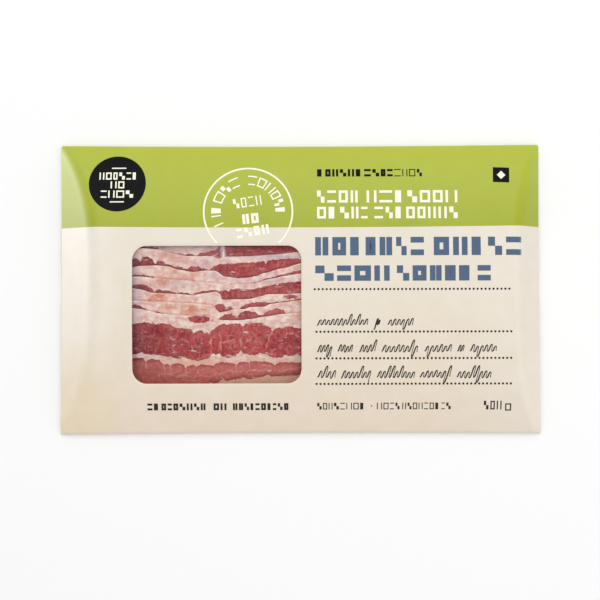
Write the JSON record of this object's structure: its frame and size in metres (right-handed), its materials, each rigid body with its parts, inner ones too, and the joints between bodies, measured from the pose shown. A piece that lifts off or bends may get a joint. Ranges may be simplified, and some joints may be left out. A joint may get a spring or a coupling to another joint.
{
  "type": "bacon pack",
  "caption": "Flat board envelope with a rounded window showing overlapping streaky bacon rashers under clear film.",
  "frame": {"origin": "middle of the flat underside, on the ground", "axes": "+X along the pack to the right of its printed face, +Y up the printed face, +Z out of the printed face"},
  "size_m": [0.24, 0.145, 0.0162],
  "materials": {
    "board": "coated, semi-gloss, printed",
    "film": "clear, glossy",
    "bacon": "moist"
  },
  "bodies": {
    "root": {"sleeve": "board", "film": "film", "rasher_01": "bacon", "rasher_02": "bacon", "rasher_03": "bacon", "rasher_04": "bacon", "rasher_05": "bacon", "rasher_06": "bacon", "rasher_07": "bacon", "rasher_08": "bacon", "rasher_09": "bacon", "rasher_10": "bacon", "rasher_11": "bacon", "rasher_12": "bacon"}
  },
  "joints": []
}
